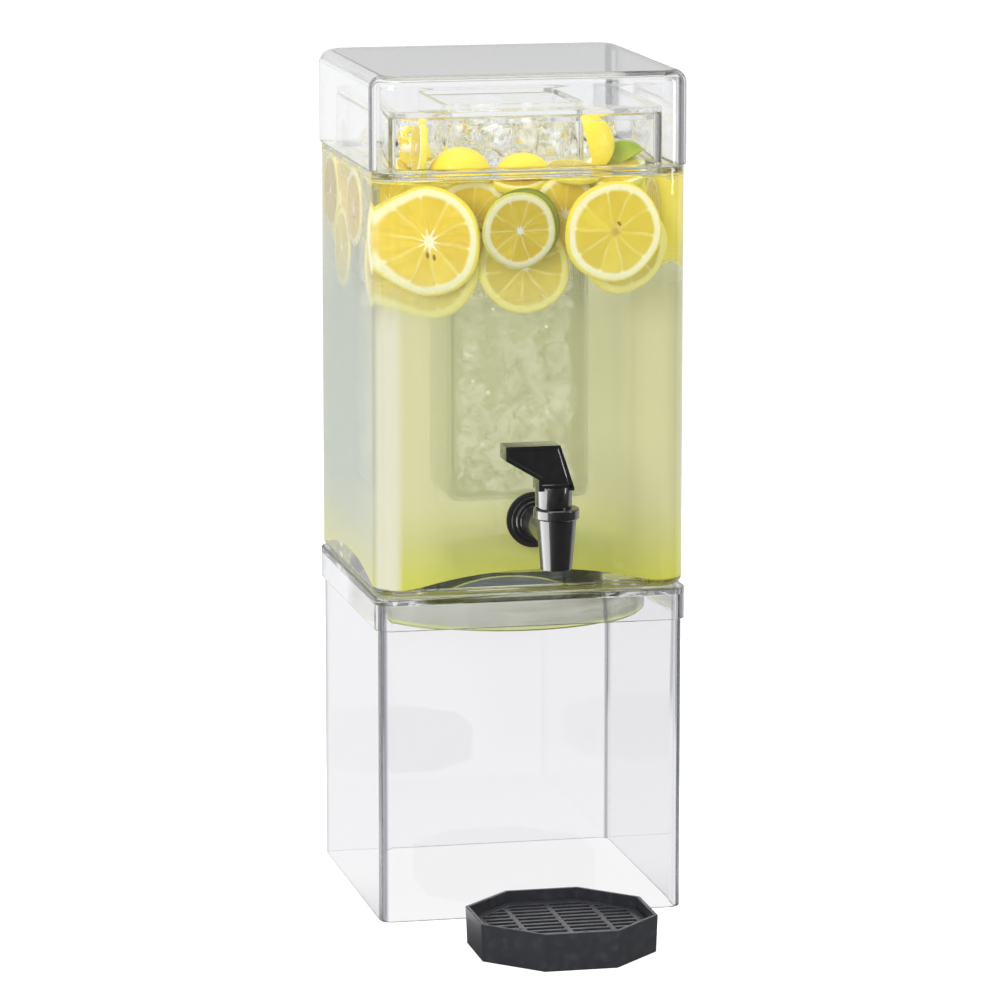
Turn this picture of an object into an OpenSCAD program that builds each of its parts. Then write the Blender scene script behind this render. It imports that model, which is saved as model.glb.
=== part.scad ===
// Square clear infusion drink dispenser on a clear stand, with a black
// self-closing lever tap and a black eight-sided drip tray in front of it.
// Millimetres, +Z up. The origin is on the table, at the middle of the whole set.

/* [Tank] */
// Width and depth of the tank's body
tank_w = 210; // [180:1:260]
// Height of the body, from its underside to its shoulder
tank_h = 281.5; // [220:0.5:340]
// Radius of the upright corners
tank_corner = 19; // [16:1:24]
// Thickness of the side walls
tank_wall = 5; // [4:0.5:7]
// Thickness of the shoulder plate round the neck
shoulder_t = 4.5; // [3:0.5:7]
// Thickness of the floor at the corners, where it is flat
floor_t = 5; // [4:0.5:8]
// Rounding of the lower outside edge
tank_foot_edge = 6; // [2:0.5:7]
// Rounding of the shoulder's outside edge
shoulder_edge = 1.5; // [0.5:0.25:2]
// How far the neck stands in from the side walls
neck_inset = 13; // [9:0.5:16]
// Height of the neck above the shoulder
neck_h = 34.5; // [25:0.5:60]
// Thickness of the neck's wall
neck_wall = 4.5; // [3:0.5:6]
// Radius of the neck's upright corners
neck_corner = 14; // [10:1:18]
// Rounding of the neck's rim
rim_edge = 1.5; // [0.5:0.25:2]
// Height of the round foot ring below the tank
foot_h = 26.5; // [20:0.5:32]
// Thickness of the foot ring's wall
foot_wall = 4; // [3:0.5:6]
// Rise of the domed floor's underside over the tank's own
dome_rise = 27.3; // [18:0.1:32]
// How far short of the inside corners the dome comes down to the tank's underside
dome_inset = 6.2; // [3:0.1:12]
// Thickness of the domed floor inside the foot ring
dome_t = 4.5; // [3:0.5:6]

/* [Lid] */
// How far the lid stands out beyond the tank on each side
lid_over = 1.5; // [0:0.25:2]
// Thickness of the lid's skirt
lid_wall = 5; // [4:0.5:6]
// Thickness of the lid's top
lid_top = 4.5; // [3:0.5:7]
// Rounding of the lid's top edge
lid_edge = 9; // [6:0.5:12]
// Free height between the chamber's plate and the lid's ceiling
headroom = 20.2; // [8:0.1:30]

/* [Ice chamber] */
// Width of the square chamber
chamber_w = 96; // [60:1:110]
// Radius of the chamber's upright corners
chamber_corner = 10; // [8:1:16]
// Thickness of the chamber's wall and floor
chamber_wall = 3; // [2:0.5:4]
// Rounding of the chamber's lower edge
chamber_edge = 6; // [3:0.5:8]
// Height from the top of the domed floor to the chamber's underside
chamber_clear = 23.7; // [18:0.1:60]
// Thickness of the plate that hangs the chamber on the neck
plate_t = 3.5; // [2.5:0.5:6]
// How far the plate stands in from the neck's outside
plate_inset = 0.5; // [0:0.25:2]
// Depth of the rib that centres the plate in the neck
rib_h = 5; // [3:0.5:10]
// Thickness of that rib
rib_t = 2; // [1.5:0.5:4]

/* [Stand] */
// Height of the stand, from the table to the top of its deck
stand_h = 219.8; // [150:0.1:300]
// How far the stand's walls stand in from the tank's walls
stand_inset = 2; // [1.5:0.25:5]
// Thickness of the stand's walls
stand_wall = 4; // [3:0.5:6]
// Outside radius of the stand's upright corners
stand_corner = 9; // [7:1:14]
// Thickness of the deck
deck_t = 4.8; // [3:0.1:8]
// Height of the deck's skirt, with the deck
deck_skirt_h = 21.8; // [14:0.1:30]
// How far the skirt stands out beyond the walls
deck_over = 2.5; // [2:0.25:4]
// Rounding of the deck's top edge
deck_edge = 1.5; // [0.5:0.25:2]
// Width of the deck's lip inside the walls, round its opening
deck_lip = 0.4; // [0.2:0.1:1]

/* [Tap] */
// Height of the tap's shank above the tank's underside
tap_up = 50; // [42:1:120]
// Distance from the tank's front to the spout's axis
tap_reach = 66; // [50:1:90]
// Radius of the threaded shank
shank_r = 8; // [7.5:0.25:9]
// Length of the shank inside the tank's wall
shank_in = 21; // [18:1:28]
// Radius of the way through the shank
shank_bore_r = 5; // [4:0.25:5.5]
// Radius of the outer gasket
gasket_r = 18.5; // [17:0.5:24]
// Thickness of the outer gasket
gasket_t = 2.5; // [1.5:0.5:4]
// Radius of the shank's flange
flange_r = 16; // [14:0.5:17]
// Thickness of the flange
flange_t = 3; // [2:0.5:4]
// Radius of the step in front of the flange
step_r = 13; // [12:0.25:13.5]
// Thickness of the step
step_t = 2.5; // [1.5:0.5:4]
// Radius of the shank's outside next to the step
neck_back_r = 10.5; // [10:0.25:11.5]
// Radius of the shank's outside where it meets the barrel
neck_front_r = 9; // [8:0.25:10]
// Radius of the inner gasket and the slip washer
inner_gasket_r = 14; // [13:0.5:17]
// Thickness of the inner gasket
inner_gasket_t = 2; // [1.5:0.5:3]
// Thickness of the slip washer
washer_t = 1; // [0.5:0.25:2]
// Width across the flats of the shank nut
nut_af = 27; // [24:1:32]
// Thickness of the shank nut
nut_t = 9; // [6:0.5:10]
// Depth of the spout's mouth below the shank's axis
spout_drop = 21; // [18:0.5:30]
// Outside radius of the spout's mouth
mouth_r = 10.3; // [9:0.1:11]
// Bore radius of the spout
spout_bore_r = 6.2; // [5:0.1:6.6]
// Outside radius at the top of the barrel
barrel_r = 13; // [12.5:0.25:14]
// Height of the straight collar at the top of the barrel
collar_h = 2; // [1:0.25:4]
// Height of the barrel above the shank's axis
barrel_up = 12.5; // [11:0.5:16]
// Radius of the valve chamber in the barrel
valve_bore_r = 8.2; // [8:0.1:8.5]
// Depth of the valve seat below the shank's axis
seat_drop = 6; // [5.5:0.5:9]
// Height of the cone between the valve chamber and the spout
seat_cone_h = 3; // [2:0.5:4]
// Radius of the threaded spigot under the bonnet
spigot_r = 10; // [9.75:0.05:10.5]
// Height of the spigot
spigot_h = 5.2; // [4:0.1:7]
// Radius of the bonnet
bonnet_r = 15; // [14.5:0.25:18]
// Height of the bonnet
bonnet_h = 7.2; // [6.5:0.1:9]
// Width of the bonnet's bevelled edges
bonnet_bevel = 0.8; // [0.4:0.1:1.2]

/* [Lever and valve] */
// Radius of the valve stem
stem_r = 3.5; // [3:0.25:4]
// Height of the pin above the lever's foot
pin_up = 6.8; // [6:0.1:8]
// Radius of the lever's pin
pin_r = 1.5; // [1.25:0.05:1.75]
// Lift of the stem for each radian that the lever tips
cam_rate = 9; // [7:0.25:9.5]
// How far the lever tips when it is pressed, in degrees
tip_angle = 30; // [20:1:32]
// Distance from the pin's axis to the neck's back
neck_back = 9.9; // [9.5:0.1:12]
// Distance from the pin's axis to the neck's front, below the paddle
neck_front = 13.5; // [13:0.25:15]
// Half width of the lever's neck
neck_half = 12; // [11:0.25:13.5]
// Height of the lever's neck above the bonnet
lever_neck_h = 14.2; // [14:0.1:20]
// Height of the lever above the bonnet
lever_h = 42.1; // [36:0.1:60]
// Distance from the pin's axis to the paddle's tip
paddle_reach = 35.3; // [28:0.1:50]
// Thickness of the paddle at its tip
paddle_t = 9.3; // [6:0.1:12]
// Half width of the paddle
paddle_half = 9; // [7:0.25:11]
// How far the paddle's back leans towards its tip
paddle_lean = 9.2; // [0:0.1:16]
// Distance from the pin's axis to the bend in the paddle's underside
bend_reach = 22.5; // [16:0.1:27]
// Height of that bend above the lever's neck
bend_up = 10.9; // [7:0.1:14]
// Height of the neck's front corner above the lever's neck
front_up = 5.6; // [0:0.1:6.5]
// Height of the seat cup
cup_h = 10; // [8:0.5:11]
// Thickness of the seat cup's skirt
cup_wall = 2; // [1.5:0.25:2.5]
// Height of the cup's nose, below its skirt
cup_nose_h = 2; // [1:0.1:2.2]
// Length of the stem's end inside the cup
stem_grip = 7.5; // [5:0.1:8]
// Height of the stem above the pin's axis
stem_over_pin = 4.5; // [3:0.1:4.8]
// Gap round the stem in the lever's fork
fork_gap = 0.3; // [0.2:0.05:0.5]
// How far the pin's ends stay inside the lever's sides
pin_inset = 1; // [0.5:0.1:2]
// How far the paddle's slimmer part reaches below the top of the neck
paddle_drop = 2; // [1:0.1:4]

/* [Drip tray] */
// Width across the flats of the tray
tray_w = 118; // [100:1:160]
// Height of the tray
tray_h = 25; // [20:0.5:40]
// Thickness of the tray's wall
tray_wall = 2.6; // [2:0.2:4]
// Thickness of the tray's floor
tray_floor = 2.5; // [2:0.5:4]
// How far the walls lean in at the table
tray_draft = 1; // [0:0.25:2]
// Gap between the stand and the tray
tray_gap = 26; // [10:1:60]
// Depth of the grille's top below the tray's rim
grille_drop = 7; // [5:0.5:10]
// Thickness of the grille
grille_t = 2.5; // [2:0.25:4]
// Width of the ledge that carries the grille
ledge_w = 2.4; // [2:0.2:4]
// Width of the grille's plain border
grille_border = 7; // [5:0.5:12]
// Width of a slot in the grille
slot_w = 5; // [3:0.5:8]
// Width of the bars between the slots
bar_w = 3.5; // [2.5:0.5:6]
// Number of cross ribs
cross_ribs = 3; // [1:1:5]

/* [Clearances] */
// Gap between pieces that rest on each other and lift off
seat_gap = 0.2; // [0.1:0.05:0.4]
// Gap round pieces that drop into each other
slide_gap = 0.6; // [0.4:0.1:1]
// Gap round the centring rib and the grille
loose_gap = 0.8; // [0.5:0.1:1.2]
// Gap round cemented and clamped pieces
fit_gap = 0.15; // [0.05:0.05:0.25]
// Running gap round the stem and the pin
run_gap = 0.08; // [0.04:0.01:0.1]
// Gap between the seat cup and its seat
valve_gap = 0.12; // [0.05:0.01:0.3]

/* [Hidden] */
$fn = 96;
dome_fn = 240;
past = 1;

clear = [0.86, 0.91, 0.92, 0.35];
black = [0.06, 0.06, 0.065];
rubber = [0.11, 0.11, 0.11];
silicone = [0.88, 0.88, 0.84];

// Heights of the stack, from the table up
z_tank = stand_h + seat_gap;
z_floor = z_tank + floor_t;
z_shoulder = z_tank + tank_h;
z_rim = z_shoulder + neck_h;
z_plate = z_rim + seat_gap;
z_ceiling = z_plate + plate_t + headroom;
z_lid = z_shoulder + seat_gap;
z_chamber = z_tank + dome_rise + dome_t + chamber_clear;
z_tap = z_tank + tap_up;

// Widths that follow the tank
lid_w = tank_w + 2*lid_over;
lid_corner = tank_corner + lid_over;
lid_h = z_ceiling + lid_top - z_lid;
neck_w = tank_w - 2*neck_inset;
neck_bore = neck_w - 2*neck_wall;
plate_w = neck_w - 2*plate_inset;
rib_w = neck_bore - 2*loose_gap;
rib_corner = neck_corner - neck_wall - loose_gap;
chamber_bore = chamber_w - 2*chamber_wall;

// Stand, deck and foot ring
stand_w = tank_w - 2*stand_inset;
stand_bore = stand_w - 2*stand_wall;
deck_w = stand_w + 2*deck_over;
deck_corner = stand_corner + deck_over;
opening_r = stand_bore/2 - deck_lip;
foot_r = opening_r - slide_gap;
foot_bore_r = foot_r - foot_wall;

// Sphere of the domed floor's underside. It reaches over the whole square, so
// the floor meets the walls along arcs that rise from the corners.
dome_reach = (tank_w/2 - tank_corner)*sqrt(2) + tank_corner - tank_wall - dome_inset;
dome_s = (dome_reach*dome_reach + dome_rise*dome_rise) / (2*dome_rise);
dome_centre = z_tank + dome_rise - dome_s;

// Valve heights, from the shank's axis
bonnet_top = barrel_up + bonnet_h;
lever_foot = bonnet_top + fit_gap;
pin_z = lever_foot + pin_up;
slot_half = stem_r + fork_gap;
pin_len = 2*neck_half - 2*pin_inset;
cup_z = valve_gap - seat_drop;
cup_r = valve_bore_r - slide_gap;
cone_lean = (valve_bore_r - spout_bore_r) / seat_cone_h;

// Drip tray
tray_y = stand_w/2 + tray_gap + tray_w/2;
tray_bore = tray_w - 2*tray_wall;
grille_z = tray_h - grille_drop - grille_t;
grille_w = tray_bore - 2*loose_gap;
slot_pitch = slot_w + bar_w;
slot_rows = floor((grille_w - 2*grille_border + bar_w) / slot_pitch);

// The set's middle, between the tray's front and the widest piece at the back
front_reach = tray_y + tray_w/2;
back_reach = max(lid_w, deck_w) / 2;
axis_y = (front_reach - back_reach) / 2;

// Moves a piece to the dispenser's upright axis
module at_axis() {
  translate([0, axis_y, 0]) children();
}

// Moves a piece to the tap: the origin is where the shank's axis meets the
// tank's front, and -Y points away from the tank
module at_tap() {
  translate([0, axis_y - tank_w/2, z_tap]) children();
}

// Turns a round piece to lie along the shank, from y on towards the user
module along_shank(y) {
  translate([0, y, 0]) rotate([90, 0, 0]) children();
}

// Moves a piece to the spout's upright axis
module at_spout() {
  at_tap() translate([0, -tap_reach, 0]) children();
}

// Square with round corners
module rounded_square(w, r) {
  core = w - 2*r;
  square([w, core], center = true);
  square([core, w], center = true);
  for (x = [-1, 1], y = [-1, 1])
    translate([x*core/2, y*core/2]) circle(r = r);
}

// Upright outline w by h, with its upper and lower corners rounded
module edge_outline(w, h, top, foot) {
  translate([-w/2, foot]) square([w, h - top - foot]);
  if (top > 0) {
    translate([top - w/2, h - 2*top]) square([w - 2*top, 2*top]);
    for (s = [-1, 1]) translate([s*(w/2 - top), h - top]) circle(r = top);
  }
  if (foot > 0) {
    translate([foot - w/2, 0]) square([w - 2*foot, 2*foot]);
    for (s = [-1, 1]) translate([s*(w/2 - foot), foot]) circle(r = foot);
  }
}

// Square block with round upright corners r and rounded top and lower edges
module soft_block(w, h, r, top, foot) {
  core = w - 2*r;
  for (turn = [0, 90])
    rotate(turn) translate([0, core/2, 0]) rotate([90, 0, 0])
      linear_extrude(core) edge_outline(w, h, top, foot);
  for (x = [-1, 1], y = [-1, 1])
    translate([x*core/2, y*core/2, 0])
      rotate_extrude() intersection() {
        edge_outline(2*r, h, top, foot);
        square([r, h]);
      }
}

// Regular eight-sided outline, given across its flats
module octagon(across) {
  rotate(22.5) circle(r = across/2/cos(22.5), $fn = 8);
}

// Four-walled sleeve with round corners, open at both ends
module stand_walls() color(clear) at_axis() {
  linear_extrude(stand_h - deck_t) difference() {
    rounded_square(stand_w, stand_corner);
    rounded_square(stand_bore, stand_corner - stand_wall);
  }
}

// Deck with a skirt over the walls and a round opening for the tank's foot
module stand_deck() color(clear) at_axis() difference() {
  translate([0, 0, stand_h - deck_skirt_h])
    soft_block(deck_w, deck_skirt_h, deck_corner, deck_edge, 0);
  translate([0, 0, stand_h - deck_skirt_h - past])
    linear_extrude(deck_skirt_h - deck_t + past)
      rounded_square(stand_w + 2*fit_gap, stand_corner + fit_gap);
  translate([0, 0, stand_h - deck_t - past])
    cylinder(r = opening_r, h = deck_t + 2*past);
}

// Hollow inside the tank, over the domed floor
module drink_space() {
  inner_edge = 3;
  difference() {
    translate([0, 0, z_floor])
      soft_block(tank_w - 2*tank_wall, z_shoulder - shoulder_t - z_floor,
        tank_corner - tank_wall, inner_edge, inner_edge);
    translate([0, 0, dome_centre]) sphere(r = dome_s + dome_t, $fn = dome_fn);
  }
}

// Hollow under the domed floor, inside the foot ring
module foot_space() {
  translate([0, 0, z_tank - foot_h - past])
    cylinder(r = foot_bore_r, h = foot_h + past);
  intersection() {
    translate([0, 0, dome_centre]) sphere(r = dome_s, $fn = dome_fn);
    translate([0, 0, z_tank - past]) cylinder(r = foot_bore_r, h = dome_rise + 2*past);
  }
}

// Tank with its shoulder, neck, domed floor and foot ring, in one moulding
module tank() color(clear) at_axis() difference() {
  union() {
    translate([0, 0, z_tank])
      soft_block(tank_w, tank_h, tank_corner, shoulder_edge, tank_foot_edge);
    translate([0, 0, z_shoulder - shoulder_t])
      soft_block(neck_w, neck_h + shoulder_t, neck_corner, rim_edge, 0);
    translate([0, 0, z_tank - foot_h]) cylinder(r = foot_r, h = foot_h + floor_t/2);
  }
  drink_space();
  foot_space();
  translate([0, 0, z_shoulder - shoulder_t - past])
    linear_extrude(shoulder_t + neck_h + 2*past)
      rounded_square(neck_bore, neck_corner - neck_wall);
  translate([0, past - tank_w/2 + tank_wall, z_tap])
    rotate([90, 0, 0]) cylinder(r = shank_r + fit_gap, h = tank_wall + 2*past);
}

// Cap that covers the neck and stands on the tank's shoulder
module lid() color(clear) at_axis() translate([0, 0, z_lid]) difference() {
  soft_block(lid_w, lid_h, lid_corner, lid_edge, 0);
  translate([0, 0, -past])
    soft_block(lid_w - 2*lid_wall, lid_h - lid_top + past, lid_corner - lid_wall,
      max(lid_edge - lid_wall, 1), 0);
}

// Square ice chamber that hangs by its plate on the neck's rim
module ice_chamber() color(clear) at_axis() difference() {
  union() {
    translate([0, 0, z_plate])
      linear_extrude(plate_t) rounded_square(plate_w, neck_corner - plate_inset);
    translate([0, 0, z_chamber])
      soft_block(chamber_w, z_plate + plate_t/2 - z_chamber, chamber_corner, 0, chamber_edge);
    translate([0, 0, z_plate - rib_h]) linear_extrude(rib_h + plate_t/2) difference() {
      rounded_square(rib_w, rib_corner);
      rounded_square(rib_w - 2*rib_t, rib_corner - rib_t);
    }
  }
  translate([0, 0, z_chamber + chamber_wall])
    soft_block(chamber_bore, z_plate + plate_t + past - z_chamber, chamber_corner - chamber_wall,
      0, chamber_edge - chamber_wall/2);
}

// Shank, barrel and spout of the tap, in one moulding
module tap_body() color(black) difference() {
  union() {
    at_tap() {
      along_shank(tank_wall + shank_in)
        cylinder(r = shank_r, h = tank_wall + shank_in + gasket_t + flange_t/2);
      along_shank(-gasket_t) cylinder(r = flange_r, h = flange_t);
      along_shank(-gasket_t - flange_t) cylinder(r = step_r, h = step_t);
      along_shank(-gasket_t - flange_t - step_t)
        cylinder(r1 = neck_back_r, r2 = neck_front_r,
          h = tap_reach - gasket_t - flange_t - step_t - valve_bore_r);
    }
    at_spout() {
      translate([0, 0, -spout_drop])
        cylinder(r1 = mouth_r, r2 = barrel_r, h = spout_drop + barrel_up - collar_h);
      translate([0, 0, barrel_up - collar_h]) cylinder(r = barrel_r, h = collar_h);
      translate([0, 0, barrel_up - collar_h]) cylinder(r = spigot_r, h = spigot_h + collar_h);
    }
  }
  at_tap() along_shank(tank_wall + shank_in + past)
    cylinder(r = shank_bore_r, h = tank_wall + shank_in + past + tap_reach);
  at_spout() {
    translate([0, 0, -spout_drop - past]) cylinder(r = spout_bore_r, h = spout_drop + past);
    translate([0, 0, -seat_drop - seat_cone_h])
      cylinder(r1 = spout_bore_r, r2 = valve_bore_r, h = seat_cone_h);
    translate([0, 0, -seat_drop])
      cylinder(r = valve_bore_r, h = seat_drop + barrel_up + spigot_h + past);
  }
}

// Bonnet that screws on the barrel's spigot and guides the stem
module tap_bonnet() color(black) at_spout() difference() {
  translate([0, 0, barrel_up]) rotate_extrude()
    polygon([
      [0, 0],
      [bonnet_r - bonnet_bevel, 0],
      [bonnet_r, bonnet_bevel],
      [bonnet_r, bonnet_h - bonnet_bevel],
      [bonnet_r - bonnet_bevel, bonnet_h],
      [0, bonnet_h]
    ]);
  translate([0, 0, barrel_up - past])
    cylinder(r = spigot_r + fit_gap, h = spigot_h + fit_gap + past);
  translate([0, 0, barrel_up]) cylinder(r = stem_r + run_gap, h = bonnet_h + past);
}

// Side outline of the lever, seen from the user's side: x is along the paddle
// and y is up from the pin. The foot's rounded toe rolls on the bonnet and
// lifts the pin by cam_rate for each radian.
module lever_outline() {
  neck_top = lever_neck_h - pin_up;
  top = lever_h - pin_up;
  toe = [
    for (a = [tip_angle : -tip_angle/6 : 0])
      let (reach = pin_up + cam_rate*a*PI/180)
      [-reach*sin(a) - cam_rate*cos(a), cam_rate*sin(a) - reach*cos(a)]
  ];
  polygon(concat([
    [neck_back, -pin_up],
    [neck_back, neck_top],
    [neck_back - paddle_lean, top],
    [-paddle_reach, top],
    [-paddle_reach, top - paddle_t],
    [-bend_reach, neck_top + bend_up],
    [-neck_front, neck_top + front_up]
  ], toe));
}

// Lever: a round neck forked over the stem, with a flat paddle above
module tap_lever() color(black) at_spout() translate([0, 0, pin_z]) difference() {
  neck_top = lever_neck_h - pin_up;
  intersection() {
    translate([0, neck_half + past, 0])
      rotate([90, 0, 0]) linear_extrude(2*neck_half + 2*past) lever_outline();
    union() {
      translate([(neck_back - neck_front)/2, 0, -pin_up - past])
        cylinder(r = neck_half, h = lever_neck_h + past);
      translate([-paddle_reach - past, -paddle_half, neck_top - paddle_drop])
        cube([paddle_reach + neck_back + 2*past, 2*paddle_half, lever_h]);
    }
  }
  slot_low = pin_up*tan(tip_angle) + slot_half/cos(tip_angle) + fork_gap;
  slot_high = stem_over_pin*tan(tip_angle) + slot_half/cos(tip_angle) + fork_gap;
  slot_top = norm([stem_r, stem_over_pin]) + fork_gap;
  translate([-slot_low, -slot_half, -pin_up - past])
    cube([slot_low + slot_high, 2*slot_half, pin_up + past + slot_top]);
  rotate([90, 0, 0]) cylinder(r = pin_r + run_gap/4, h = 2*neck_half + 2*past, center = true);
}

// Pin through the lever's fork and the stem's head
module lever_pin() color([0.6, 0.6, 0.6]) at_spout() translate([0, 0, pin_z])
  rotate([90, 0, 0]) cylinder(r = pin_r, h = pin_len, center = true);

// Stem from the seat cup up through the bonnet to the pin
module valve_stem() color(black) at_spout() difference() {
  translate([0, 0, cup_z + cup_h - stem_grip])
    cylinder(r = stem_r, h = pin_z + stem_over_pin - cup_z - cup_h + stem_grip);
  translate([0, 0, pin_z]) rotate([90, 0, 0])
    cylinder(r = pin_r + run_gap/2, h = 2*stem_r + 2*past, center = true);
}

// Silicone cup that closes the spout, gripped on the stem's lower end
module seat_cup() color(silicone) at_spout() translate([0, 0, cup_z]) difference() {
  union() {
    cylinder(r = cup_r, h = cup_h);
    translate([0, 0, -cup_nose_h])
      cylinder(r1 = cup_r - cup_nose_h*cone_lean, r2 = cup_r, h = cup_nose_h);
  }
  translate([0, 0, cup_h - stem_grip - run_gap])
    cylinder(r = stem_r + run_gap, h = stem_grip + run_gap + past);
  translate([0, 0, cup_h/2]) difference() {
    cylinder(r = cup_r - cup_wall, h = cup_h);
    translate([0, 0, -past]) cylinder(r = stem_r + cup_wall/2, h = cup_h + 2*past);
  }
}

// Gasket between the tank's front and the shank's flange
module outer_gasket() color(rubber) at_tap() along_shank(0) difference() {
  cylinder(r = gasket_r, h = gasket_t);
  translate([0, 0, -past]) cylinder(r = shank_r + fit_gap, h = gasket_t + 2*past);
}

// Gasket on the inside of the tank's wall
module inner_gasket() color(rubber) at_tap()
  along_shank(tank_wall + inner_gasket_t) difference() {
    cylinder(r = inner_gasket_r, h = inner_gasket_t);
    translate([0, 0, -past]) cylinder(r = shank_r + fit_gap, h = inner_gasket_t + 2*past);
  }

// Thin washer that lets the nut turn on the inner gasket
module slip_washer() color(silicone) at_tap()
  along_shank(tank_wall + inner_gasket_t + washer_t) difference() {
    cylinder(r = inner_gasket_r, h = washer_t);
    translate([0, 0, -past]) cylinder(r = shank_r + fit_gap, h = washer_t + 2*past);
  }

// Six-sided nut on the shank's inner end
module shank_nut() color(black) at_tap()
  along_shank(tank_wall + inner_gasket_t + washer_t + nut_t) difference() {
    cylinder(r = nut_af/2/cos(30), h = nut_t, $fn = 6);
    translate([0, 0, -past]) cylinder(r = shank_r + fit_gap, h = nut_t + 2*past);
  }

// Eight-sided tray with a ledge for the grille
module drip_tray() color(black) translate([0, axis_y - tray_y, 0]) difference() {
  rotate(22.5) cylinder(r1 = (tray_w/2 - tray_draft)/cos(22.5), r2 = tray_w/2/cos(22.5),
    h = tray_h, $fn = 8);
  translate([0, 0, grille_z - seat_gap])
    linear_extrude(tray_h) octagon(tray_bore);
  translate([0, 0, tray_floor]) linear_extrude(tray_h) octagon(tray_bore - 2*ledge_w);
}

// Slotted grille that drops into the tray
module drip_grille() color(black) translate([0, axis_y - tray_y, grille_z])
  linear_extrude(grille_t) difference() {
    octagon(grille_w);
    intersection() {
      octagon(grille_w - 2*grille_border);
      for (i = [0 : slot_rows - 1]) {
        y = (i - (slot_rows - 1)/2)*slot_pitch;
        for (k = [0 : cross_ribs]) {
          bay = (grille_w + bar_w) / (cross_ribs + 1);
          x = (k - cross_ribs/2)*bay;
          translate([x, y]) square([bay - bar_w, slot_w], center = true);
        }
      }
    }
  }

stand_walls();
stand_deck();
tank();
lid();
ice_chamber();
tap_body();
tap_bonnet();
tap_lever();
lever_pin();
valve_stem();
seat_cup();
outer_gasket();
inner_gasket();
slip_washer();
shank_nut();
drip_tray();
drip_grille();
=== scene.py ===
"""Looks of a square clear infusion drink dispenser on a clear stand, with a
black lever tap and an eight-sided drip tray, filled with lemonade, fruit and ice."""

import math
import random

import bmesh
import bpy
from mathutils import Euler, Matrix, Vector


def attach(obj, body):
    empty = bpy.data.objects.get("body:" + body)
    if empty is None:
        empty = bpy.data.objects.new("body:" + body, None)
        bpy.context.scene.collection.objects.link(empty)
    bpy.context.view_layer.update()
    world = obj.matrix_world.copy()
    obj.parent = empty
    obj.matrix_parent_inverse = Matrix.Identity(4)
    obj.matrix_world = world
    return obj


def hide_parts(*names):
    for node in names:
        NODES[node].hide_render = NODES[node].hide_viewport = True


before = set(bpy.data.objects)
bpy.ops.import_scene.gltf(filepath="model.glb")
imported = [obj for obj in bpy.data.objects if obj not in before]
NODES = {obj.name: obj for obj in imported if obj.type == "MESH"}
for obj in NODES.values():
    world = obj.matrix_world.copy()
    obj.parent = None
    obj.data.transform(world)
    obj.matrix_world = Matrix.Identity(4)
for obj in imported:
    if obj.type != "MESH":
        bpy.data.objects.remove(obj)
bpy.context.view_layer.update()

MM = 0.001
# the tank's, lid's and stand's upright axis stands this far behind the origin, in mm
AXIS_Y = 70.25


# Sockets and materials

class Wire:
    """A socket in a material, on which arithmetic adds Math nodes."""

    def __init__(self, tree, socket):
        self.tree = tree
        self.socket = socket

    def math(self, operation, *others, flip=False):
        node = self.tree.nodes.new("ShaderNodeMath")
        node.operation = operation
        values = [self, *others]
        if flip:
            values.reverse()
        for slot, value in zip(node.inputs, values):
            join(self.tree, value, slot)
        return Wire(self.tree, node.outputs[0])

    def __add__(self, other):
        return self.math("ADD", other)

    __radd__ = __add__

    def __sub__(self, other):
        return self.math("SUBTRACT", other)

    def __rsub__(self, other):
        return self.math("SUBTRACT", other, flip=True)

    def __mul__(self, other):
        return self.math("MULTIPLY", other)

    __rmul__ = __mul__

    def __truediv__(self, other):
        return self.math("DIVIDE", other)

    def __pow__(self, other):
        return self.math("POWER", other)

    def size(self):
        return self.math("ABSOLUTE")

    def step(self, low, high):
        """0 below low and 1 above high, smooth between them."""
        node = self.tree.nodes.new("ShaderNodeMapRange")
        node.interpolation_type = "SMOOTHSTEP"
        join(self.tree, self, node.inputs["Value"])
        node.inputs["From Min"].default_value = low
        node.inputs["From Max"].default_value = high
        return Wire(self.tree, node.outputs[0])


def join(tree, value, socket):
    """Feeds a socket with a wire or a plain value."""
    if isinstance(value, Wire):
        tree.links.new(value.socket, socket)
    elif isinstance(value, (tuple, list, Vector)) and socket.type == "RGBA":
        socket.default_value = (*value[:3], 1.0)
    else:
        socket.default_value = value


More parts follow.
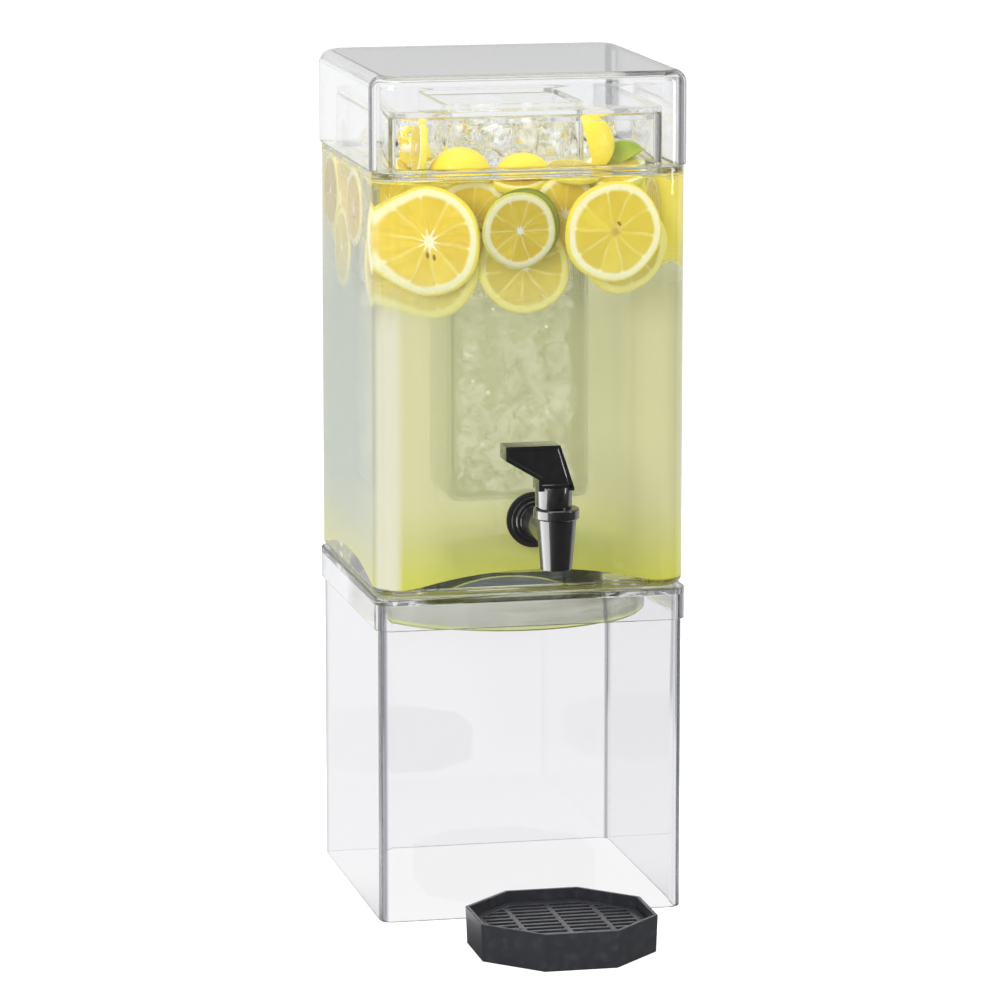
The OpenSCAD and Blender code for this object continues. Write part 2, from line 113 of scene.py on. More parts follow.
class Finish:
    """A material, or the world's surface, while its nodes are made."""

    def __init__(self, name, holder=None):
        self.holder = holder or bpy.data.materials.new(name)
        self.holder.use_nodes = True
        self.tree = self.holder.node_tree
        self.tree.nodes.clear()

    def node(self, kind, output=0, settings=None, **sockets):
        """Adds a node and returns the wire from one of its outputs. A socket is
        given by its name, or by its number as in1."""
        node = self.tree.nodes.new("ShaderNode" + kind)
        for key, value in (settings or {}).items():
            setattr(node, key, value)
        for key, value in sockets.items():
            by_number = key.startswith("in") and key[2:].isdigit()
            socket = node.inputs[int(key[2:]) if by_number else key.replace("_", " ")]
            join(self.tree, value, socket)
        return Wire(self.tree, node.outputs[output])

    def place(self):
        return self.node("TexCoord", "Object")

    def xyz(self, where=None):
        """The three coordinates of a place, which is the object's own unless given."""
        node = self.tree.nodes.new("ShaderNodeSeparateXYZ")
        join(self.tree, where or self.place(), node.inputs[0])
        return [Wire(self.tree, output) for output in node.outputs]

    def noise(self, scale, detail=2.0, rough=0.5, where=None, stretch=None):
        where = where or self.place()
        if stretch:
            where = self.node("Mapping", Vector=where, Scale=stretch)
        return self.node("TexNoise", "Fac", Vector=where, Scale=scale, Detail=detail,
                         Roughness=rough)

    def mix(self, factor, a, b):
        node = self.tree.nodes.new("ShaderNodeMix")
        node.data_type = "RGBA"
        join(self.tree, factor, node.inputs[0])
        join(self.tree, a, node.inputs[6])
        join(self.tree, b, node.inputs[7])
        return Wire(self.tree, node.outputs[2])

    def bump(self, height, strength, distance):
        return self.node("Bump", Height=height, Strength=strength, Distance=distance)

    def show(self, surface, volume=None):
        kind = "ShaderNodeOutputWorld" if isinstance(self.holder, bpy.types.World) \
            else "ShaderNodeOutputMaterial"
        out = self.tree.nodes.new(kind)
        join(self.tree, surface, out.inputs["Surface"])
        if volume is not None:
            join(self.tree, volume, out.inputs["Volume"])
        return self.holder


def srgb(r, g, b):
    """A colour written as it looks on a screen, from 0 to 255."""
    return tuple(((c / 255 + 0.055) / 1.055) ** 2.4 if c > 10 else c / 3294.6
                 for c in (r, g, b))


PLASTIC_IOR = 1.49
WATER_IOR = 1.333
NEAR_WHITE = (0.985, 0.988, 0.995)
# left and right walls lie beyond this, in metres from the axis
SIDE_WALL = 0.0983


def plastic_depth(f):
    """What clear plastic takes from light on a long way inside it."""
    return f.node("VolumeAbsorption", Color=srgb(150, 156, 160), Density=2.2)


def clear_acrylic(name, ior=PLASTIC_IOR, body=NEAR_WHITE, side=NEAR_WHITE, corner=1.0,
                  shade=(0.12, 0.12, 0.14), right_only=False, thick=True):
    """Polished clear plastic, faintly grey through a long way of it where it's thick.
    Its upright corners, beyond corner metres from the axis both ways (only on the right
    if right_only), get painted shade in the colour shade, standing in for dark edges.
    side is the colour of left and right walls; where darker than body it is painted shade."""
    f = Finish(name)
    smear = f.noise(18.0, 3.0)
    x, y, _ = f.xyz()
    out = x if right_only else x.size()
    # painted shade: the upright corners are darkened to the shade colour
    painted_corner_shade = out.math("MINIMUM", (y - AXIS_Y * MM).size()).step(corner, corner + 0.002)
    # painted shade on the left and right walls, where side is darker than body
    body_and_side_shade = f.mix(x.size().step(SIDE_WALL, SIDE_WALL + 0.0005), body, side)
    sheet = f.node(
        "BsdfPrincipled", Base_Color=f.mix(painted_corner_shade, body_and_side_shade, shade), IOR=ior,
        Transmission_Weight=1.0, Roughness=smear.step(0.5, 0.9) * 0.012)
    return f.show(sheet, plastic_depth(f) if thick else None)


def foot_acrylic(name, rim_top):
    """Clear plastic with painted shade and a painted reflection of the drink's olive in
    its colour: light at the left, darkest at the left edge and at the right, with painted
    light streaks. Under the tank's bottom the painted shade is greyer, and below rim_top
    metres the drink's yellow-green is painted in."""
    f = Finish(name)
    x, _, height = f.xyz()
    streak = f.noise(22.0, 3.0, stretch=(0.5, 0.5, 5))
    # painted shade and painted reflection: pale at the left, dark olive at the right
    painted_olive_shade = f.mix(x.step(0.0, 0.06), srgb(234, 235, 216), srgb(136, 132, 100))
    # painted shade: a darker left edge
    painted_olive_shade = f.mix((0.0 - x).step(0.094, 0.099), painted_olive_shade, srgb(150, 152, 132))
    # painted highlights: pale streaks
    painted_olive_shade = f.mix(0.4 * streak.step(0.4, 0.65), painted_olive_shade, srgb(246, 246, 240))
    # painted shade: greyer and streaked under the tank's bottom; below rim_top the drink's
    # yellow-green is painted in
    under = (1.0 - height.step(0.2185, 0.2195)) * (1.0 - height.step(0.19, 0.2185) * 0.3)
    ring = f.mix(streak.step(0.35, 0.6), srgb(172, 174, 150), srgb(196, 198, 180))
    colour = f.mix(1.0 - height.step(rim_top, rim_top + 0.003), f.mix(under, painted_olive_shade, ring),
                   srgb(226, 232, 150))
    sheet = f.node("BsdfPrincipled", Base_Color=colour, IOR=PLASTIC_IOR,
                   Transmission_Weight=1.0, Roughness=0.01 * streak)
    return f.show(sheet, plastic_depth(f))


def lemonade():
    """Cloudy pale drink: yellower near the floor and among the fruit. Painted light: it is
    lighter and milkier at the sides, grey-green on the left face as a painted reflection,
    and has a painted highlight down its left front corner."""
    f = Finish("lemonade")
    across, along, height = f.xyz()
    drift = f.noise(7.0, 3.0, stretch=(1, 1, 0.4)) - 0.5
    high = height + 0.02 * drift
    fruit = high.step(0.43, 0.47)
    under_fruit = 1.0 - high.step(0.39, 0.445)
    off_floor = high.step(0.21, 0.285)
    left = 0.0 - across
    left_face = left.step(0.0985, 0.0995)
    # painted highlight: a pale band down the left front corner
    painted_corner_highlight = left.step(0.086, 0.092) * (0.0 - along).step(0.013, 0.02) * under_fruit
    # painted light: the sides are lighter and milkier, standing in for light there
    sides = under_fruit * across.size().step(0.05, 0.08)
    middle_pulp = f.mix(off_floor, srgb(224, 226, 84), srgb(229, 229, 172))
    painted_light_side_pulp = f.mix(off_floor, srgb(236, 236, 96), srgb(241, 239, 182))
    # painted reflection: grey-green on the left face
    painted_left_reflection = f.mix(along.step(-0.03, 0.08), srgb(222, 228, 196), srgb(190, 207, 186))
    milk = f.mix(sides, middle_pulp, painted_light_side_pulp)
    milk = f.mix(left_face * off_floor, milk, painted_left_reflection)
    milk = f.mix(painted_corner_highlight, milk, srgb(252, 250, 222))
    milk = f.mix(fruit, milk, srgb(240, 228, 112))
    clear = f.mix(off_floor, srgb(232, 236, 104), srgb(246, 248, 222))
    clear = f.mix(fruit, clear, srgb(253, 249, 212))
    liquid = f.node(
        "BsdfPrincipled", Base_Color=clear, IOR=WATER_IOR, Transmission_Weight=1.0,
        Roughness=0.02 + 0.04 * f.noise(9.0, 3.0))
    pulp = f.node("BsdfPrincipled", Base_Color=milk, Roughness=0.8, IOR=1.1)
    # the haze is thicker at the sides and at the left corner, where it carries the painted light
    # and highlight
    haze = 0.13 + 0.37 * under_fruit + 0.28 * sides + 0.15 * painted_corner_highlight + 0.06 * drift
    body = f.node("MixShader", in0=haze, in1=liquid, in2=pulp)
    return f.show(body, f.node("VolumeAbsorption", Color=srgb(222, 226, 170), Density=0.5))


def citrus(name, flesh, peel, wedges, pith=0.84, seed=0.0, core=0.1, heart=(255, 253, 236),
           rim=(252, 248, 216), pips=()):
    """Cut fruit seen face on: wedges of flesh, pale walls, pith and peel. The piece's
    UV map holds the slice's own disc, one unit across. seed turns the wedges, core is
    the pale heart's size, and pips are the places of brown pips."""
    f = Finish(name)
    disc = f.node("TexCoord", "UV")
    u, v, _ = f.xyz(disc)
    across = u - 0.5
    along = v - 0.5
    out = 2.0 * (across * across + along * along) ** 0.5
    wobble = f.noise(3.0, 2.0, where=disc) - 0.5
    milky = f.noise(5.0, 3.0, where=disc)
    turn = across.math("ARCTAN2", along) * (wedges / math.tau) + 0.5 * wobble + seed
    wedge = f.node("TexWhiteNoise", "Value", settings={"noise_dimensions": "1D"},
                   W=turn.math("FLOOR").math("MODULO", wedges))
    aside = 1.0 - 2.0 * (turn.math("FRACT") - 0.5).size()
    wall = 1.0 - (aside * out).step(0.04, 0.13)
    sacs = f.node("TexVoronoi", "Distance", Scale=1.0, Vector=f.node(
        "CombineXYZ", X=turn * 3.0, Y=out * 4.0, Z=seed))
    light = tuple(min(1.0, c * 1.12 + 0.03) for c in flesh)
    deep = tuple(c * k for c, k in zip(flesh, (0.86, 0.78, 0.7)))
    face = f.mix(0.6 * sacs.step(0.1, 0.75) + 0.4 * milky.step(0.35, 0.7), light, flesh)
    face = f.mix(0.5 * wedge, face, deep)
    face = f.mix(0.5 * wall * milky.step(0.3, 0.65), face, srgb(250, 240, 170))
    spikes = 0.9 * core * (1.0 - aside.step(0.0, 0.6))
    star = 1.0 - (out - spikes + 0.24 * f.noise(8.0, 1.0, where=disc) - 0.12).step(
        core * 0.6, core * 1.1)
    face = f.mix(star, face, srgb(*heart))
    for pip_x, pip_y in pips:
        aside_pip = across - pip_x
        along_pip = along - pip_y
        near = (aside_pip * aside_pip + 0.3 * along_pip * along_pip) ** 0.5
        face = f.mix(1.0 - near.step(0.012, 0.02), face, srgb(150, 106, 52))
    ring = (out + 0.08 * wobble + 0.03 * wall).step(pith - 0.04, pith + 0.03)
    face = f.mix(ring, face, srgb(*rim))
    face = f.mix((out + 0.04 * wobble).step(0.92, 0.97), face, peel)
    skin = f.node(
        "BsdfPrincipled", Base_Color=face, Roughness=0.22 + 0.15 * sacs, IOR=1.36,
        Normal=f.bump(sacs, 0.3, 0.0008))
    return f.show(skin)


def peel(name, shade, patches):
    """Waxy pored peel of whole fruit."""
    f = Finish(name)
    pores = f.node("TexVoronoi", "Distance", Vector=f.place(), Scale=420.0)
    patch = f.noise(30.0, 2.0)
    body = f.node(
        "BsdfPrincipled", Base_Color=f.mix(patch.step(0.35, 0.7), shade, patches), IOR=1.45,
        Roughness=0.28 + 0.1 * patch, Normal=f.bump(pores, 0.4, 0.0006))
    return f.show(body)


def ice(name, ior, white):
    """Clear ice with cloudy white patches in it. Under the drink it bends light less."""
    f = Finish(name)
    frost = f.noise(60.0, 3.0)
    glass = f.node(
        "BsdfPrincipled", Base_Color=(1, 1, 1), IOR=ior, Transmission_Weight=1.0,
        Roughness=0.02 + 0.2 * frost.step(0.5, 0.8),
        Normal=f.bump(f.noise(90.0, 2.0), 0.3, 0.002))
    cloud = f.node("BsdfPrincipled", Base_Color=srgb(246, 250, 250), Roughness=0.4)
    return f.show(f.node("MixShader", in0=frost.step(0.5, 0.68) * white, in1=glass, in2=cloud))


def black_plastic(name, shade, gloss, grain, coat=0.0):
    """Moulded black plastic, a little dusty, with a fine grain."""
    f = Finish(name)
    dust = f.noise(160.0, 3.0)
    colour = f.mix(dust.step(0.45, 0.8), shade, tuple(c * 1.5 + 0.002 for c in shade))
    body = f.node(
        "BsdfPrincipled", Base_Color=colour, IOR=1.5, Coat_Weight=coat, Coat_Roughness=0.06,
        Roughness=gloss + 0.08 * f.noise(40.0, 2.0),
        Normal=f.bump(f.noise(grain, 2.0), 0.08, 0.0004))
    return f.show(body)


def rubber(name, shade):
    """Matt soft plastic or rubber, slightly mottled."""
    f = Finish(name)
    body = f.node(
        "BsdfPrincipled", Base_Color=f.mix(f.noise(200.0), shade, tuple(c * 1.4 for c in shade)),
        Roughness=0.6 + 0.1 * f.noise(120.0), Normal=f.bump(f.noise(500.0), 0.15, 0.0004))
    return f.show(body)


ACRYLIC = clear_acrylic("clear_acrylic")
# the lid, the neck and the stand's skirt get painted shade on their right upright corner; the
# stand gets it on both corners, and painted shade on its side walls
ACRYLIC_LID = clear_acrylic("clear_acrylic_lid", corner=0.097, right_only=True)
ACRYLIC_NECK = clear_acrylic("clear_acrylic_neck", corner=0.085, right_only=True)
ACRYLIC_STAND = clear_acrylic("clear_acrylic_stand", body=(0.958, 0.956, 0.968),
                              side=(0.9, 0.9, 0.92), corner=0.0975, shade=(0.2, 0.21, 0.24))
ACRYLIC_SKIRT = clear_acrylic("clear_acrylic_skirt", corner=0.1, right_only=True)
# the thin chamber: above the drink, and in it, where the plastic shows only faintly; in the
# drink its grey tint is painted shade over what is seen through it
ACRYLIC_THIN = clear_acrylic("clear_acrylic_dry", 1.25, thick=False)
ACRYLIC_WET = clear_acrylic("clear_acrylic_wet", 1.07, (0.62, 0.64, 0.6), thick=False)
ACRYLIC_FOOT = foot_acrylic("clear_acrylic_foot", 0.1945)
ACRYLIC_DECK = foot_acrylic("clear_acrylic_deck", 0.0)
LEMONADE = lemonade()
LEMON = citrus("lemon", srgb(236, 206, 62), srgb(244, 228, 88), 10, 0.82, 0.0, 0.13,
               pips=((0.03, -0.15), (-0.03, -0.12)))
LEMON_RIGHT = citrus("lemon_brown_heart", srgb(228, 206, 66), srgb(244, 226, 84), 10, 0.82, 5.1,
                     0.08, heart=(206, 176, 84), rim=(252, 248, 220), pips=((0.09, 0.02),))
LEMON_PALE = citrus("lemon_pale", srgb(214, 194, 64), srgb(240, 228, 104), 9, 0.84, 3.4, 0.08,
                    rim=(242, 234, 150))
LIME = citrus("lime", srgb(226, 204, 78), srgb(214, 216, 120), 10, 0.8, 7.7, 0.08,
              rim=(248, 244, 196))
# a darker copy of the lime, for the slice behind it: lime-green peel, with its flesh and pith
# darkened as painted shade
LIME_SHADED = citrus("lime_deep", srgb(150, 150, 56), srgb(104, 138, 48), 10, 0.5, 2.7, 0.08,
                   rim=(150, 160, 62))
LEMON_PEEL = peel("lemon_peel", srgb(250, 230, 60), srgb(246, 222, 50))
LIME_PEEL = peel("lime_peel", srgb(150, 178, 46), srgb(190, 204, 64))
ICE = ice("ice_dry", 1.3, 0.75)
ICE_WET = ice("ice_wet", 1.1, 0.6)
# ice at its cloudiest, for the chips whose white makes painted glints
ICE_GLINT_CHIPS = ice("ice_chips", 1.3, 1.0)
BLACK = black_plastic("gloss_black", (0.007, 0.007, 0.0075), 0.3, 900.0, coat=1.0)
TRAY_BLACK = black_plastic("satin_black", (0.03, 0.031, 0.036), 0.25, 1400.0)
GASKET = rubber("gasket_rubber", (0.012, 0.012, 0.012))
SILICONE = rubber("silicone", srgb(225, 225, 215))
NYLON = rubber("nylon", srgb(222, 222, 216))


# Making pieces

def keep(name, mesh, body, finishes, clear=False, smooth=60.0):
    """Makes an object of a bmesh that is in millimetres round the dispenser's axis.
    Edges sharper than smooth degrees stay sharp."""
    bmesh.ops.transform(mesh, matrix=Matrix.Scale(MM, 4) @ Matrix.Translation((0, AXIS_Y, 0)),
                        verts=mesh.verts)
    data = bpy.data.meshes.new(name)
    mesh.to_mesh(data)
    mesh.free()
    piece = bpy.data.objects.new(name, data)
    bpy.context.scene.collection.objects.link(piece)
    for finish in finishes:
        data.materials.append(finish)
    data.polygons.foreach_set("use_smooth", [True] * len(data.polygons))
    if smooth:
        data.set_sharp_from_angle(angle=math.radians(smooth))
    if body:
        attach(piece, body)
    if clear:
        piece.visible_shadow = False
        piece.visible_diffuse = False
    return piece


def rounded(half, corner, z, radius, start, end, steps=5):
    """Stations round a level edge of a vessel, from one angle to another, in degrees.
    half and corner are those of the ring at 0 degrees, which stands at height z."""
    turns = [math.radians(start + (end - start) * i / steps) for i in range(steps + 1)]
    return [(half - radius + radius * math.cos(turn), corner - radius + radius * math.cos(turn),
             z + radius * math.sin(turn)) for turn in turns]


# a circle's points with side_steps lie where they would on the tank's inside, which is
# a square of this half width without its corners, and this corner radius
FLAT_HALF = 86
ROUND = 14


def draw_square(stations, looped=False, corner_steps=12, side_steps=0):
    """A vessel with round corners, drawn out ring by ring. A station is (half width,
    corner radius, height); where the two are equal the ring is a circle, and the
    height may be a function of the distance from the axis. side_steps puts points
    along the straight sides too. The first and last rings are closed with a face, or
    joined to each other if looped."""
    mesh = bmesh.new()
    place = mesh.verts.layers.int.new("place")
    quarter_steps = corner_steps + 1 + side_steps

    def settle(verts, half, corner, z):
        core = half - corner
        for v in verts:
            quarter, i = divmod(v[place], quarter_steps)
            on_corner = min(i, corner_steps)
            turn = math.pi / 2 * on_corner / corner_steps
            side = 1 - 2 * (i - on_corner) / (side_steps + 1)
            x = core * side + corner * math.cos(turn)
            y = core + corner * math.sin(turn)
            if side_steps and core == 0:
                way = math.atan2(FLAT_HALF + ROUND * math.sin(turn),
                                 FLAT_HALF * side + ROUND * math.cos(turn))
                x, y = half * math.cos(way), half * math.sin(way)
            for _ in range(quarter):
                x, y = -y, x
            v.co = (x, y, z(math.hypot(x, y)) if callable(z) else z)

    ring = bmesh.ops.create_circle(mesh, segments=4 * quarter_steps, radius=1.0)["verts"]
    for i, v in enumerate(ring):
        v[place] = i
    settle(ring, *stations[0])
    first = edges = list(mesh.edges)
    for station in stations[1:]:
        grown = bmesh.ops.extrude_edge_only(mesh, edges=edges)["geom"]
        fresh = {g for g in grown if isinstance(g, bmesh.types.BMVert)}
        settle(fresh, *station)
        edges = [g for g in grown if isinstance(g, bmesh.types.BMEdge)
                 and g.verts[0] in fresh and g.verts[1] in fresh]
    if looped:
        bmesh.ops.bridge_loops(mesh, edges=first + edges)
    else:
        bmesh.ops.contextual_create(mesh, geom=first)
        bmesh.ops.contextual_create(mesh, geom=edges)
    bmesh.ops.recalc_face_normals(mesh, faces=mesh.faces)
    return mesh


def lathe(profile, steps=72):
    """A turned piece. The profile is (radius, height) pairs round a closed section,
    or from axis to axis."""
    mesh = bmesh.new()
    points = [mesh.verts.new((r, 0, z)) for r, z in profile]
    for a, b in zip(points, points[1:]):
        mesh.edges.new((a, b))
    if profile[0][0] > 0 or profile[-1][0] > 0:
        mesh.edges.new((points[-1], points[0]))
    bmesh.ops.spin(mesh, geom=mesh.verts[:] + mesh.edges[:], cent=(0, 0, 0), axis=(0, 0, 1),
                   angle=math.tau, steps=steps, use_merge=True, use_duplicate=False)
    bmesh.ops.remove_doubles(mesh, verts=mesh.verts, dist=0.0005)
    bmesh.ops.recalc_face_normals(mesh, faces=mesh.faces)
    return mesh


def move(mesh, matrix):
    bmesh.ops.transform(mesh, matrix=matrix, verts=mesh.verts)
    return mesh


# Clear pieces, in millimetres

TANK_HALF = 105.0
TANK_CORNER = 19.0
INSIDE_HALF = 100
INSIDE_CORNER = 14
Z_TANK = 220.0
Z_FLOOR = 225.0
Z_INSIDE = 240.0
Z_SHOULDER = 501.5
NECK_HALF = 92
NECK_CORNER = 14
BORE_HALF = 87.5
BORE_CORNER = 9.5
Z_RIM = 536.0
RIM_ROUND = 1.5
FLOOR_THICK = 4.5
# the floor is a part of a ball: its rise in the middle, its reach out to the corners,
# the ball's radius and the height of the ball's middle
DOME_RISE = 27.3
DOME_REACH = 129.42
DOME_BALL = (DOME_REACH ** 2 + DOME_RISE ** 2) / (2 * DOME_RISE)
DOME_MID = Z_TANK + DOME_RISE - DOME_BALL
RING_OUT = 98.0
RING_IN = 94.0
Z_RING = 193.5


def dome(r, thick=0.0):
    return DOME_MID + math.sqrt((DOME_BALL + thick) ** 2 - r * r)


def floor_rings(grow=0.0, drop=0.0):
    """Rings of the tank's floor inside, from the middle out to the walls."""
    def height(r):
        return max(dome(r, FLOOR_THICK), Z_FLOOR) - drop

    round_rings = [(r, r, height) for r in (3, 12, 24, 36, 48, 60, 70)]
    square_rings = [(80, 62, height), (88, 44, height), (94, 24, height), (98, 13, height),
                    (INSIDE_HALF + grow, INSIDE_CORNER + grow, height)]
    return round_rings + square_rings


def tank_shell():
    walls = [(INSIDE_HALF, INSIDE_CORNER, Z_INSIDE)] \
        + rounded(INSIDE_HALF, INSIDE_CORNER, 494, 3, 0, 90)
    bore = [(89.0, 11.0, 497.0), (BORE_HALF, BORE_CORNER, 498.5),
            (BORE_HALF, BORE_CORNER, Z_RIM - RIM_ROUND)]
    rim_in = rounded(BORE_HALF + 2 * RIM_ROUND, BORE_CORNER + 2 * RIM_ROUND, Z_RIM - RIM_ROUND,
                     RIM_ROUND, 180, 90, 4)
    rim_out = rounded(NECK_HALF, NECK_CORNER, Z_RIM - RIM_ROUND, RIM_ROUND, 90, 0, 4)
    neck = [(NECK_HALF, NECK_CORNER, 503.0), (93.5, 15.5, Z_SHOULDER)]
    shoulder = rounded(TANK_HALF, TANK_CORNER, Z_SHOULDER - 1.5, 1.5, 90, 0, 4)
    foot = rounded(TANK_HALF, TANK_CORNER, Z_TANK + 6, 6, 0, -90, 7)
    ring = [(r, r, z) for r, z in (
        (RING_OUT, Z_TANK), (RING_OUT, Z_TANK - 1), (RING_OUT, Z_RING + 1),
        (RING_OUT - 1, Z_RING), (RING_IN + 1, Z_RING), (RING_IN, Z_RING + 1))]
    under = [(r, r, dome(r)) for r in (94, 90, 82, 72, 60, 48, 36, 24, 12, 3)]
    return draw_square(floor_rings() + walls + bore + rim_in + rim_out + neck + shoulder
                       + foot + ring + under, side_steps=16)


def lid_shell():
    inside = [(3, 3, 559.9)] + rounded(101.5, 15.5, 555.9, 4, 90, 0)
    rim = [(101.5, 15.5, 502.2), (102.0, 16.0, 501.7), (106.0, 20.0, 501.7),
           (106.5, 20.5, 502.2)]
    return draw_square(inside + rim + rounded(106.5, 20.5, 555.4, 9, 0, 90, 8)
                       + [(3, 3, 564.4)])


def wall_sleeve():
    return draw_square([(103, 9, 0.4), (103, 9, 214.6), (102.6, 8.6, 215.0), (99.4, 5.4, 215.0),
                        (99, 5, 214.6), (99, 5, 0.4), (99.4, 5.4, 0), (102.6, 8.6, 0)], True)


def deck_plate():
    edge = rounded(105.5, 11.5, 218.3, 1.5, 90, 0, 4)
    skirt = [(105.5, 11.5, 198.4), (105.1, 11.1, 198.0), (103.55, 9.55, 198.0),
             (103.15, 9.15, 198.4), (103.15, 9.15, 215.0)]
    hole = [(98.6, 98.6, 215.4), (98.6, 98.6, 219.4), (99.0, 98.9, 219.8)]
    return draw_square(edge + skirt + hole, True)


def chamber_shell():
    inside = [(2, 1.5, 278.5)] + rounded(45, 7, 283, 4.5, -90, 0)
    plate = [(45, 7, 539.2), (45.5, 7.5, 539.7), (91.0, 13.0, 539.7), (91.5, 13.5, 539.2),
             (91.5, 13.5, 536.7), (91.0, 13.0, 536.2), (86.7, 8.7, 536.2)]
    rib = [(86.7, 8.7, 531.7), (86.2, 8.2, 531.2), (85.2, 7.2, 531.2), (84.7, 6.7, 531.7),
           (84.7, 6.7, 536.2)]
    outside = [(48, 10, 536.2), (48, 10, 496.0)] + rounded(48, 10, 281.5, 6, 0, -90)
    return draw_square(inside + plate + rib + outside + [(2, 1.5, 275.5)])


def drink_block():
    """The drink overlaps the walls by a hair, so that light crosses as it does from
    plastic into liquid, and fills the tank up to just under its shoulder."""
    hair = 0.15
    half = INSIDE_HALF + hair
    corner = INSIDE_CORNER + hair
    top = [(half, corner, Z_INSIDE), (half, corner, 495.6), (98.6, 12.6, 496.4),
           (96.5, 10.5, 496.0), (3, 3, 496.0)]
    return draw_square(floor_rings(hair, hair) + top, side_steps=16)


def clear_piece(name, mesh, body, finishes, node=None):
    """A clear moulding in place of a plain part, or the drink, whose flat faces stay
    flat under smooth shading."""
    piece = keep(name, mesh, body, finishes, clear=True, smooth=50)
    even = piece.modifiers.new("even", "WEIGHTED_NORMAL")
    even.keep_sharp = True
    even.weight = 100
    if node:
        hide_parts(node)
    return piece


tank = clear_piece("tank_shell", tank_shell(), "tank", [ACRYLIC, ACRYLIC_FOOT, ACRYLIC_NECK],
                   "tank")
clear_piece("lid_shell", lid_shell(), "lid", [ACRYLIC_LID], "lid")
clear_piece("stand_sleeve", wall_sleeve(), "stand", [ACRYLIC_STAND], "stand_walls")
deck = clear_piece("stand_top", deck_plate(), "stand", [ACRYLIC_SKIRT, ACRYLIC_DECK],
                   "stand_deck")
chamber = clear_piece("ice_chamber_shell", chamber_shell(), "chamber",
                      [ACRYLIC_THIN, ACRYLIC_WET], "ice_chamber")
clear_piece("drink", drink_block(), "tank", [LEMONADE])


def finish_faces(piece, index, chosen):
    """Gives one of a piece's finishes to the faces that chosen picks. It is asked with a
    face's middle, in millimetres from the axis, and the height of its highest corner."""
    for face in piece.data.polygons:
        middle = face.center / MM - Vector((0, AXIS_Y, 0))
        top = max(piece.data.vertices[i].co.z for i in face.vertices) / MM
        if chosen(middle, top):
            face.material_index = index


# the chamber's outside is wet as far up as the drink, and the tank's neck has painted
# shade at its corner; its foot, its ring and the dome's underside get painted olive shade
finish_faces(chamber, 1, lambda middle, top: top < 496.5)
finish_faces(tank, 2, lambda middle, top: middle.z > 503.5)
finish_faces(tank, 1, lambda middle, top: top < 226.5 or (
    middle.xy.length < RING_IN and middle.z < dome(middle.xy.length) + 1))
# and so do the deck's rim and the wall of its round opening
finish_faces(deck, 1, lambda middle, top: middle.z > 215.4 and (
    max(abs(middle.x), abs(middle.y)) > 104 or middle.xy.length < 99.2))


# Fruit and ice

def slice_disc(radius, thick):
    """A cut round of fruit with a soft peel edge and its disc as a UV map."""
    half = thick / 2
    rings = (0.12, 0.3, 0.5, 0.7, 0.84)
    profile = [(0, half)] + [(radius * k, half) for k in rings]
    profile += [(radius * 0.95, half - 0.1), (radius * 0.985, half * 0.7), (radius, 0),
                (radius * 0.985, -half * 0.7), (radius * 0.95, 0.1 - half)]
    profile += [(radius * k, -half) for k in reversed(rings)] + [(0, -half)]
    mesh = lathe(profile, 48)
    disc = mesh.loops.layers.uv.new("disc")
    for face in mesh.faces:
        for loop in face.loops:
            x, y, _ = loop.vert.co
            loop[disc].uv = (x / (2 * radius) + 0.5, y / (2 * radius) + 0.5)
    for v in mesh.verts:
        turn = math.atan2(v.co.y, v.co.x)
        swell = 1 + 0.018 * math.sin(2 * turn + radius) + 0.01 * math.sin(5 * turn + thick)
        v.co.x *= swell
        v.co.y *= swell
    return mesh


def turned(mesh, place, lean=0.0, yaw=0.0, spin=0.0):
    """Stands a disc upright facing the user, then leans and turns it to its place."""
    return move(mesh, Matrix.Translation(place) @ Matrix.Rotation(math.radians(yaw), 4, "Z")
                @ Matrix.Rotation(math.radians(90 - lean), 4, "X")
                @ Matrix.Rotation(math.radians(spin), 4, "Z"))


